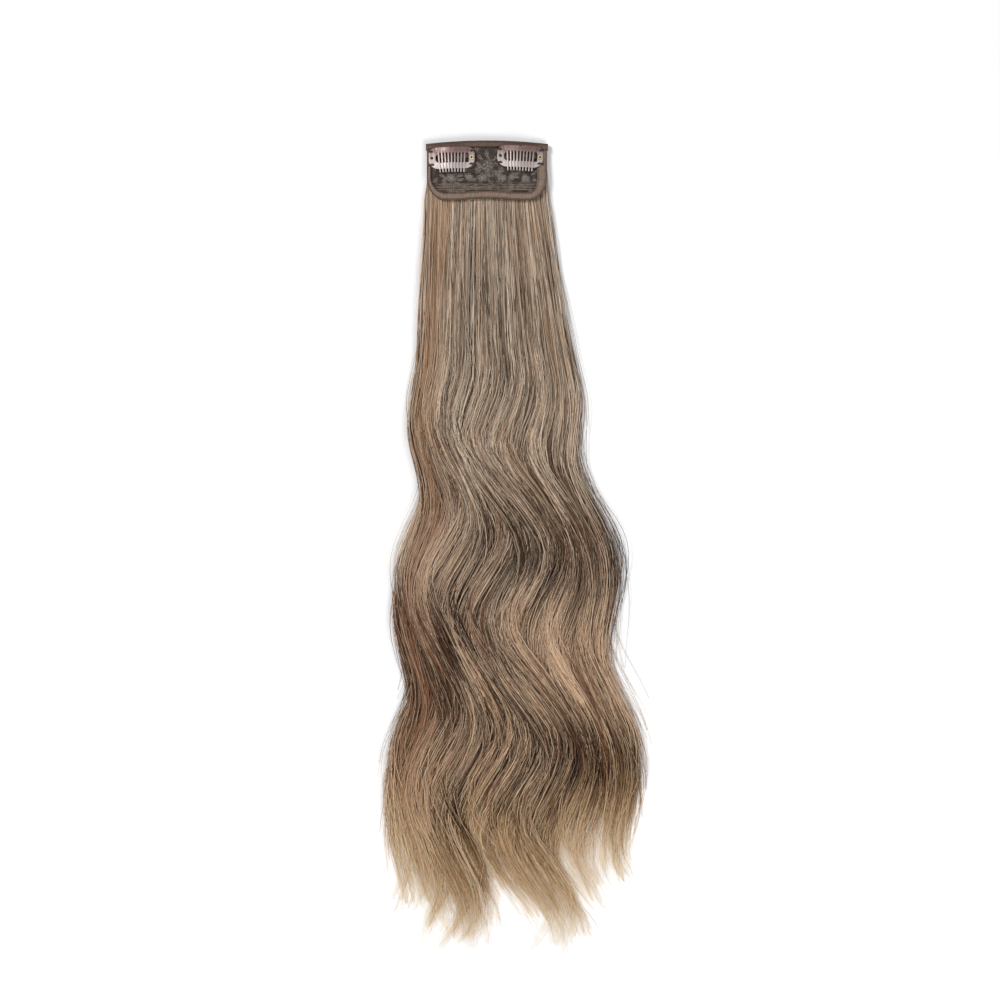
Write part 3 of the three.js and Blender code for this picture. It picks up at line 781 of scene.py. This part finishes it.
# Places and lengths of the flowers, leaves and stems are in millimetres, and turns in radians
MOTIF_THREAD = 0.3 * MM
MOTIF_POINTS = 15
MOTIF_SIDE_INSET = 3 * MM
MOTIF_TOP = 14 * MM
PETAL_SCALES = (1, 0.82, 0.64, 0.46)
LEAF_SCALES = (1, 0.8, 0.6, 0.4)
STEM_ROWS = (-13.4, -11.6, -9.8)
STEM_REACH = 34
STEM_LENGTH = 5.5
FLOWER_COLUMNS = ["x", "y", "size", "turn", "petals"]
FLOWERS = [
    (0.5, 3.2, 4.6, 0.2, 6), (-3.4, -5, 3.6, 0.5, 5), (-25, -5.4, 3.4, 0.9, 5), (-12.5, -4.6, 2.6, 0.1, 5),
    (11, -5.4, 2.8, 0.7, 5), (27, -6.2, 3, 0.5, 6),
]
LEAF_COLUMNS = ["x", "y", "length", "turn"]
LEAVES = [
    (4.5, 7, 4.5, 0.8), (-3, 7.5, 4.5, 2.4), (5, 0, 4.5, -0.5), (-4, 0.5, 4.5, -2.6), (0, 9, 5, 1.6),
    (-7, -6, 4, 3.3), (0.5, -7, 4, -0.5), (-21, -4.5, 4.5, 0.4), (-29.5, -4.5, 4, 2.7), (-22, -8.5, 4, -0.5),
    (-16, -6, 4, 3.4), (8, -3.5, 3.5, 2.6), (15, -5.5, 4.5, 0.1), (22.5, -5, 4, 2.9), (31, -3.5, 4, 0.8),
    (-36, 0, 4, 1.9),
]


def flower_lines(flower):
    """Petals round a centre, each drawn several times so that its threads fill it."""
    lines = []
    for number in range(flower["petals"]):
        middle = flower["turn"] + 2 * np.pi * number / flower["petals"]
        for scale in PETAL_SCALES:
            lines.append(petal_line(flower["x"], flower["y"], flower["size"] * scale, middle, 0.5))
    turns = np.linspace(0, 4 * np.pi, MOTIF_POINTS)
    radius = flower["size"] * 0.24 * (0.3 + 0.7 * turns / turns[-1])
    lines.append((flower["x"] + radius * np.cos(turns), flower["y"] + radius * np.sin(turns)))
    return lines


def petal_line(x, y, length, turn, plumpness):
    """One loop from a point out to its tip and back."""
    share = np.linspace(0, np.pi, MOTIF_POINTS)
    out = length * np.sin(share)
    aside = length * plumpness * np.sin(2 * share) / 1.6
    return (
        x + out * np.cos(turn) - aside * np.sin(turn),
        y + out * np.sin(turn) + aside * np.cos(turn),
    )


def lace_motif():
    """Raised threads that draw flowers, leaves and thin stems on the net."""
    lines = []
    for row in FLOWERS:
        lines.extend(flower_lines(dict(zip(FLOWER_COLUMNS, row))))
    for row in LEAVES:
        leaf = dict(zip(LEAF_COLUMNS, row))
        for scale in LEAF_SCALES:
            size = leaf["length"] * scale
            lines.append(petal_line(leaf["x"], leaf["y"], size, leaf["turn"], 0.32))
    along = np.linspace(0, STEM_LENGTH, MOTIF_POINTS)
    for row in STEM_ROWS:
        for x in np.arange(-STEM_REACH, STEM_REACH, STEM_LENGTH):
            lines.append((x + along, row + 0.2 * np.sin(along * 0.8 + x)))
    x, y = [np.array(side) * MM for side in zip(*lines)]
    inside = (np.abs(x) < BASE_HALF_WIDTH - MOTIF_SIDE_INSET).all(1) & (y < MOTIF_TOP).all(1)
    x, y = x[inside], y[inside]
    z = underside_at(x, y) + LACE_THICKNESS + lace_rise(x, y) + 0.08 * MM
    values = {
        "along": np.linspace(0, 1, MOTIF_POINTS),
        "thickness": chance.uniform(0.75, 1.15, (len(x), 1)),
    }
    size = (MOTIF_THREAD, MOTIF_THREAD * 0.7, 4)
    piece = threads("lace_motif", np.stack([x, y, z], 2), values, thread_material, *size)
    return piece


def thread_paint(dark, light):
    """Twisted thread between two colours."""

    def paint(tree):
        place = tree.node("ShaderNodeTexCoord")["Object"]
        twist = tree.noise(place, 1800, detail=2)
        values = {"Height": twist, "Strength": 0.5, "Distance": 0.0001}
        return {
            "Base Color": tree.mix(twist.smoothstep(0.3, 0.7), colour(dark), colour(light)),
            "Roughness": 0.7,
            "Normal": tree.node("ShaderNodeBump", None, values)["Normal"],
        }

    return paint


thread_material = surface("lace_thread", thread_paint("645a55", "a1968f"))
motif = lace_motif()


# The binding tapes
# Two folded strips of woven tape that bind the lace's edges, one along the top edge and one round
# the sides and the hem. Each lies flat on the lace and turns down over its edge.

TAPE_TOP = 2.3 * MM
TOP_TAPE_WIDTH = 4.8 * MM
TAPE_OVERLAP = 0.2 * MM
TAPE_END = 0.7 * MM
HEM_TAPE_WIDTH = 5.3 * MM
LEFT_TAPE_WIDTH = 3 * MM
RIGHT_TAPE_WIDTH = 7 * MM
SIDE_STEPS = 26
CORNER_STEPS = 30
HEM_STEPS = 70
TOP_STEPS = 140


def hem_line(left, right, bottom):
    """The line down the left side, along the hem and up the right side, inside the base's edge."""
    start = top_edge_at(BASE_HALF_WIDTH) - TOP_TAPE_WIDTH + TAPE_OVERLAP
    up = CORNER_UP - bottom
    low = HEM_Y + bottom
    turns = np.linspace(0, np.pi / 2, CORNER_STEPS)
    left_x, right_x = left - BASE_HALF_WIDTH, BASE_HALF_WIDTH - right
    left_across, right_across = CORNER_ACROSS - left, CORNER_ACROSS - right
    side = np.linspace(start, low + up, SIDE_STEPS)[:-1]
    share = np.linspace(0, 1, HEM_STEPS)[1:-1]
    ripple = HEM_RISE_MIDDLE * (1 - np.cos(2 * np.pi * share)) / 2 * np.sin(np.pi * share)
    x = [
        np.full(len(side), left_x),
        left_x + left_across * (1 - np.cos(turns)),
        left_x + left_across + (right_x - right_across - left_x - left_across) * share,
        right_x - right_across * (1 - np.sin(turns)),
        np.full(len(side), right_x),
    ]
    y = [side, low + up * (1 - np.sin(turns)), low + ripple, low + up * (1 - np.cos(turns)), side[::-1]]
    return np.stack([np.concatenate(x), np.concatenate(y)], 1)


def top_line(down):
    """A line along the base's top edge, a distance below it."""
    half = BASE_HALF_WIDTH + TAPE_END
    x = np.linspace(-half, half, TOP_STEPS)
    return np.stack([x, top_edge_at(x) - down], 1)


def tape_mesh(name, outer, inner):
    """A folded tape between the base's edge and the tape's free edge, as one closed band.

    Its section runs over the fold at the edge, across the top and back under it, in millimetres.
    """
    width = np.linalg.norm(inner - outer, axis=1)[:, None]
    far = width / MM
    ones = np.ones_like(far)
    # Painted shade: the tape is painted dark everywhere but its top face, round the fold, the free edge and
    # the underside
    painted_side_shade = [0.9, 1, 1, 1, 1, 0.75, 0.1, 0, 0, 0.2, 0.85, 1, 1, 1, 1, 1, 1, 1]
    section = [
        (0.85 * ones, 0.05), (0.2 * ones, 0), (0 * ones, 0.25), (0 * ones, 1.6), (0.12 * ones, 2.02),
        (0.45 * ones, 2.25), (1.0 * ones, 2.3), (far * 0.4, 2.34), (far * 0.7, 2.34), (far - 0.6, 2.3),
        (far - 0.2, 2.2), (far - 0.02, 1.95), (far, 1.4), (far - 0.1, 1.12), (far - 0.4, 1.08),
        (1.3 * ones, 1.08), (1 * ones, 0.9), (1 * ones, 0.2),
    ]
    across = np.concatenate([place for place, _ in section], 1) * MM
    rise = np.array([up for _, up in section]) * MM
    steps, sides = across.shape
    run = np.concatenate([[0], np.cumsum(np.linalg.norm(np.diff(outer, axis=0), axis=1))])
    inward = (inner - outer) / width
    place = outer[:, None, :] + inward[:, None, :] * across[:, :, None]
    pucker = np.sin(run / (1.15 * MM)) * 0.05 + np.sin(run / (3.7 * MM) + 1) * 0.06
    lift = np.broadcast_to(rise, across.shape) + (rise > 2 * MM) * pucker[:, None] * MM
    z = underside_at(place[:, :, 0], place[:, :, 1]) + lift
    vertices = np.concatenate([place, z[:, :, None]], 2).reshape(-1, 3)
    faces = []
    for step in range(steps - 1):
        for side in range(sides):
            a = step * sides + side
            b = step * sides + (side + 1) % sides
            faces.append((a, a + sides, b + sides, b))
    faces.append(tuple(range(sides)))
    faces.append(tuple(range(steps * sides - 1, (steps - 1) * sides - 1, -1)))
    mesh = bpy.data.meshes.new(name)
    mesh.from_pydata(vertices, [], faces)
    mesh.polygons.foreach_set("use_smooth", [True] * len(faces))
    # The painted shade on the tape's sides and underside, as a value at each point
    edge = np.tile(painted_side_shade, steps)
    mesh.attributes.new("edge", "FLOAT", "POINT").data.foreach_set("value", edge)
    layer = mesh.uv_layers.new(name="weave")
    corners = np.zeros(len(mesh.loops), np.int32)
    mesh.loops.foreach_get("vertex_index", corners)
    reach = np.cumsum(np.linalg.norm(np.diff(vertices.reshape(steps, sides, 3)[0], axis=0), axis=1))
    reach = np.concatenate([[0], reach])
    flat = np.stack([run[corners // sides], reach[corners % sides]], 1)
    layer.data.foreach_set("uv", (flat / MM).ravel())
    mesh.set_sharp_from_angle(angle=np.radians(60))
    return mesh


def tape_paint(dark, light):
    """Woven tape between two colours, with slanted ribs, and painted shade on its sides and underside."""

    def paint(tree):
        run = tree.node("ShaderNodeUVMap", {"uv_map": "weave"})["UV"]
        ribs = tree.node(
            "ShaderNodeTexWave",
            {"wave_type": "BANDS", "bands_direction": "DIAGONAL"},
            {"Vector": run, "Scale": 0.9, "Distortion": 0.6, "Detail": 2},
        )["Fac"]
        wear = tree.noise(run, 0.5, detail=4)
        tone = ribs * 0.45 + wear * 0.75
        values = {"Height": ribs, "Strength": 0.5, "Distance": 0.0002}
        woven = tree.mix(tone.smoothstep(0.2, 0.95), colour(dark), colour(light))
        return {
            # Painted shade darkens the sides and underside of the tape
            "Base Color": tree.mix(tree.attribute("edge") * 0.8, woven, colour("2a1f19")),
            "Roughness": 0.75,
            "Normal": tree.node("ShaderNodeBump", None, values)["Normal"],
        }

    return paint


def add_tape(name, outer, inner, dark, light):
    mesh = tape_mesh(name, outer, inner)
    tape = put_in_scene(f"{name}_woven", mesh, surface(f"{name}_weave", tape_paint(dark, light)), "weft")
    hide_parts(name)
    return tape


hem_outer = hem_line(0, 0, 0)
hem_inner = hem_line(LEFT_TAPE_WIDTH, RIGHT_TAPE_WIDTH, HEM_TAPE_WIDTH)
hem_tape = add_tape("hem_tape", hem_outer, hem_inner, "604c42", "97806f")
top_tape = add_tape("top_tape", top_line(0)[::-1], top_line(TOP_TAPE_WIDTH)[::-1], "453529", "765b4d")


# The stitches
# Machine stitches in dark thread: two rows on each tape, and a double row along each of the two
# lower tracks where the hair is sewn to the lace.

STITCH_THREAD = 0.36 * MM
STITCH_POINTS = 5
STITCH_BOW = 0.24 * MM
STITCH_SINK = 0.08 * MM
TRACK_STITCHES_APART = 1.1 * MM


def stitch_row(path, gap, length, over):
    """Short arcs of thread at even steps along a line on the base."""
    run = np.concatenate([[0], np.cumsum(np.linalg.norm(np.diff(path, axis=0), axis=1))])
    starts = np.arange(0.5 * gap, run[-1] - length, gap)[:, None]
    share = np.linspace(0, 1, STITCH_POINTS)
    place = starts + length * share
    x, y = np.interp(place, run, path[:, 0]), np.interp(place, run, path[:, 1])
    bow = STITCH_BOW * np.sin(np.pi * share) - STITCH_SINK
    rise = over if np.isscalar(over) else over(x, y)
    return np.stack([x, y, underside_at(x, y) + rise + bow], 2)


def on_lace(x, y):
    return LACE_THICKNESS + lace_rise(x, y)


def stitches():
    rows = [
        stitch_row(top_line(1.3 * MM), 2.1 * MM, 1.6 * MM, TAPE_TOP),
        stitch_row(top_line(4.1 * MM), 2.1 * MM, 1.6 * MM, TAPE_TOP),
        stitch_row(hem_outer + (hem_inner - hem_outer) * 0.2, 2.2 * MM, 1.7 * MM, TAPE_TOP),
        stitch_row(hem_outer + (hem_inner - hem_outer) * 0.84, 2.2 * MM, 1.7 * MM, TAPE_TOP),
    ]
    half = BASE_HALF_WIDTH - RIGHT_TAPE_WIDTH
    for track in TRACKS[1:]:
        for aside in (-TRACK_STITCHES_APART / 2, TRACK_STITCHES_APART / 2):
            x = np.linspace(-half - 3 * MM, half, 60)
            line = np.stack([x, track + aside + 0.25 * MM * np.sin(x / (6 * MM))], 1)
            rows.append(stitch_row(line, 2.4 * MM, 2.1 * MM, on_lace))
    points = np.concatenate(rows)
    values = {
        "along": np.linspace(0, 1, STITCH_POINTS),
        "thickness": chance.uniform(0.85, 1.1, (len(points), 1)),
    }
    size = (STITCH_THREAD, STITCH_THREAD, 6)
    piece = threads("seam_stitches", points, values, seam_material, *size)
    return piece


seam_material = surface("seam_thread", thread_paint("1f1815", "47392f"))
seams = stitches()


# The snap comb clips
# Stamped from thin spring steel with a rose brown lacquer: an arched frame with a window, a comb
# leaf that snaps over, and a rolled eyelet by the right end. Thread through the holes holds the frame.

CLIP_TURNS = {"clip_left": 1.5, "clip_right": -2}
CLIP_HALF_HEIGHT = 7.5 * MM
CLIP_GAP = 0.3 * MM
HOLE_X = 13.9 * MM
HOLE_RISE = 4.6 * MM
EDGE_ROUND = 0.11 * MM
KNOT_RADIUS = 0.8 * MM
KNOT_POINTS = 25
CLIP_THREAD_WIDTH = 0.42 * MM
CLIP_THREAD_HEIGHT = 0.34 * MM

# A stitch from a hole over the clip's end, out from the hole and up, in millimetres
END_STITCH = [(0, -0.25), (0, 0.4), (0.35, 0.76), (1.2, 0.8), (2.15, 0.7), (2.5, 0.3), (2.55, -0.35)]

# The lacquer from the clip's lower edge to its upper one
LACQUER = [(0, "d2c5c2"), (0.35, "bfb0ad"), (0.64, "a58f8b"), (0.74, "7e6561"), (1, "785f59")]


def clip_frame_of(name):
    """The clip's own frame, as the base tilts it: its middle, and its axes as columns."""
    low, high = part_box(f"{name}_frame")
    x, y = (low.x + high.x) / 2, (low.y + high.y) / 2
    pitch = np.arctan((TOP_EDGE_LIFT - HEM_LIFT) / (2 * BASE_HALF_HEIGHT))
    roll = np.arctan(2 * BASE_CROWN * x / BASE_HALF_WIDTH**2)
    turn = np.radians(CLIP_TURNS[name])
    axes = Euler((pitch, roll, turn), "XYZ").to_matrix()
    middle = Vector((x, y, underside_at(x, y) + TAPE_TOP + CLIP_GAP))
    return middle, np.array(axes)


def smoothed_copy(node, clip):
    """A CAD piece with its edges rounded, and how far up the clip each point lies."""
    middle, axes = clip_frame_of(clip)
    shape = bmesh.new()
    shape.from_mesh(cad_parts[node].data)
    bmesh.ops.remove_doubles(shape, verts=shape.verts, dist=1e-6)
    flat = [edge for edge in shape.edges if edge.calc_face_angle(0) < np.radians(0.5)]
    bmesh.ops.dissolve_edges(shape, edges=flat, use_verts=True)
    sharp = [edge for edge in shape.edges if edge.calc_face_angle(0) > np.radians(50)]
    bmesh.ops.bevel(
        shape,
        geom=sharp,
        offset=EDGE_ROUND,
        segments=2,
        profile=0.6,
        affect="EDGES",
        clamp_overlap=True,
    )
    bmesh.ops.triangulate(shape, faces=[face for face in shape.faces if len(face.verts) > 4])
    mesh = bpy.data.meshes.new(f"{node}_finished")
    shape.to_mesh(mesh)
    shape.free()
    mesh.polygons.foreach_set("use_smooth", [True] * len(mesh.polygons))
    mesh.set_sharp_from_angle(angle=np.radians(32))
    places = np.zeros(3 * len(mesh.vertices))
    mesh.vertices.foreach_get("co", places)
    rise = (places.reshape(-1, 3) - np.array(middle)) @ axes[:, 1] / CLIP_HALF_HEIGHT
    mesh.attributes.new("rise", "FLOAT", "POINT").data.foreach_set("value", rise)
    return mesh


def steel_paint(tree):
    place = tree.node("ShaderNodeTexCoord")["Object"]
    rise = tree.attribute("rise") * 0.4 + 0.5
    lacquer = tree.ramp(rise, [(height, colour(code)) for height, code in LACQUER])
    scuffs = tree.noise(place, 900, detail=4)
    worn = scuffs.smoothstep(0.6, 0.75) * 0.5
    values = {"Height": tree.noise(place, 500, detail=3), "Strength": 0.08, "Distance": 0.0001}
    return {
        "Base Color": tree.mix(worn, lacquer, colour("f2e9e6")),
        "Metallic": 0.45,
        "Roughness": tree.noise(place, 350, detail=3) * 0.25 + 0.37,
        "Coat Weight": 0.3,
        "Coat Roughness": 0.15,
        "Normal": tree.node("ShaderNodeBump", None, values)["Normal"],
    }


def brass_paint(tree):
    place = tree.node("ShaderNodeTexCoord")["Object"]
    tarnish = tree.noise(place, 1200, detail=3)
    return {
        "Base Color": tree.mix(tarnish.smoothstep(0.4, 0.8), colour("efe4c6"), colour("b39a72")),
        "Metallic": 0.85,
        "Roughness": tarnish * 0.3 + 0.2,
    }


def clip_threads(clip):
    """Turns of thread that fill each hole, and stitches from the outer holes over the clip's end."""
    middle, axes = clip_frame_of(clip)
    share = np.linspace(0, 1, KNOT_POINTS)
    stitch = np.array(END_STITCH)
    places = np.arange(len(stitch))
    along, up = [np.interp(share * places[-1], places, side) for side in stitch.T]
    lines = []
    for end, rises in ((-1, (-1, 0, 1)), (1, (-1, 1))):
        for rise in rises:
            hole = np.array([end * HOLE_X, HOLE_RISE * rise, 0])
            turns = 5 * np.pi * share
            radius = KNOT_RADIUS * (0.15 + 0.85 * share) * (1 if rise else 1.3)
            coil = [radius * np.cos(turns), radius * np.sin(turns), (0.68 - 0.08 * share) * MM]
            lines.append(hole + np.stack(coil, 1))
            for aside in (-0.35, 0, 0.35) if rise else ():
                across = (aside + 0.3 * rise * share) * MM
                lines.append(hole + np.stack([end * along * MM, across, up * MM], 1))
    return np.array(lines) @ axes.T + np.array(middle)


def clips():
    steel = surface("clip_steel_lacquered", steel_paint)
    brass = surface("eyelet_brass", brass_paint)
    for clip in CLIP_TURNS:
        for part, material, slot, body in (
            ("frame", steel, "clip_steel", "weft"),
            ("comb", steel, "clip_steel", f"{clip}_leaf"),
            ("eyelet", brass, "eyelet", "weft"),
        ):
            node = f"{clip}_{part}"
            piece = put_in_scene(f"{node}_finished", smoothed_copy(node, clip), material, body)
            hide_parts(node)
    points = np.concatenate([clip_threads(clip) for clip in CLIP_TURNS])
    values = {
        "along": np.linspace(0, 1, KNOT_POINTS),
        "thickness": chance.uniform(0.9, 1.1, (len(points), 1)),
    }
    size = (CLIP_THREAD_WIDTH, CLIP_THREAD_HEIGHT, 6)
    threads("clip_threads", points, values, seam_material, *size)


clips()


# The studio
# A pale floor that the weft lies on, soft light from above, and a camera that looks straight down
# on it as the photograph does.

PHOTO_WIDTH = 700 * MM
PHOTO_CENTRE = (9.1 * MM, -230.3 * MM)
CAMERA_HEIGHT = 3.0
FLOOR_SIZE = 6.0
DAYLIGHT = 0.3
LAMPS = [
    ("key_light", (-1.5, 1.2, 2.3), 0.9, 60),
    ("fill_light", (1.0, -1.8, 1.9), 1.5, 36),
]


def flat_paint(code, roughness):
    def paint(tree):
        place = tree.node("ShaderNodeTexCoord")["Object"]
        grain = tree.noise(place, 3, detail=2)
        shade = tree.ramp(grain, [(0.3, colour(code)), (0.7, colour("ffffff"))])
        return {"Base Color": shade, "Roughness": roughness}

    return paint


def studio():
    half = FLOOR_SIZE / 2
    floor_mesh = bpy.data.meshes.new("floor")
    corners = [(-half, -half, 0), (half, -half, 0), (half, half, 0), (-half, half, 0)]
    floor_mesh.from_pydata(corners, [], [(0, 1, 2, 3)])
    floor = bpy.data.objects.new("floor", floor_mesh)
    bpy.context.scene.collection.objects.link(floor)
    floor_mesh.materials.append(surface("pale_floor", flat_paint("fafafa", 0.8)))
    world = bpy.data.worlds.new("studio")
    world.use_nodes = True
    background = world.node_tree.nodes["Background"]
    background.inputs["Color"].default_value = (1, 1, 1, 1)
    background.inputs["Strength"].default_value = DAYLIGHT
    bpy.context.scene.world = world
    bpy.context.scene.view_settings.view_transform = "Standard"
    for name, place, size, power in LAMPS:
        lamp = bpy.data.lights.new(name, "AREA")
        lamp.size, lamp.energy = size, power
        light = bpy.data.objects.new(name, lamp)
        light.location = place
        aim = Vector((*PHOTO_CENTRE, 0)) - Vector(place)
        light.rotation_euler = aim.to_track_quat("-Z", "Y").to_euler()
        bpy.context.scene.collection.objects.link(light)
    lens = bpy.data.cameras.new("camera")
    lens.lens = lens.sensor_width * CAMERA_HEIGHT / PHOTO_WIDTH
    camera = bpy.data.objects.new("camera", lens)
    camera.location = (*PHOTO_CENTRE, CAMERA_HEIGHT)
    bpy.context.scene.collection.objects.link(camera)
    bpy.context.scene.camera = camera


studio()
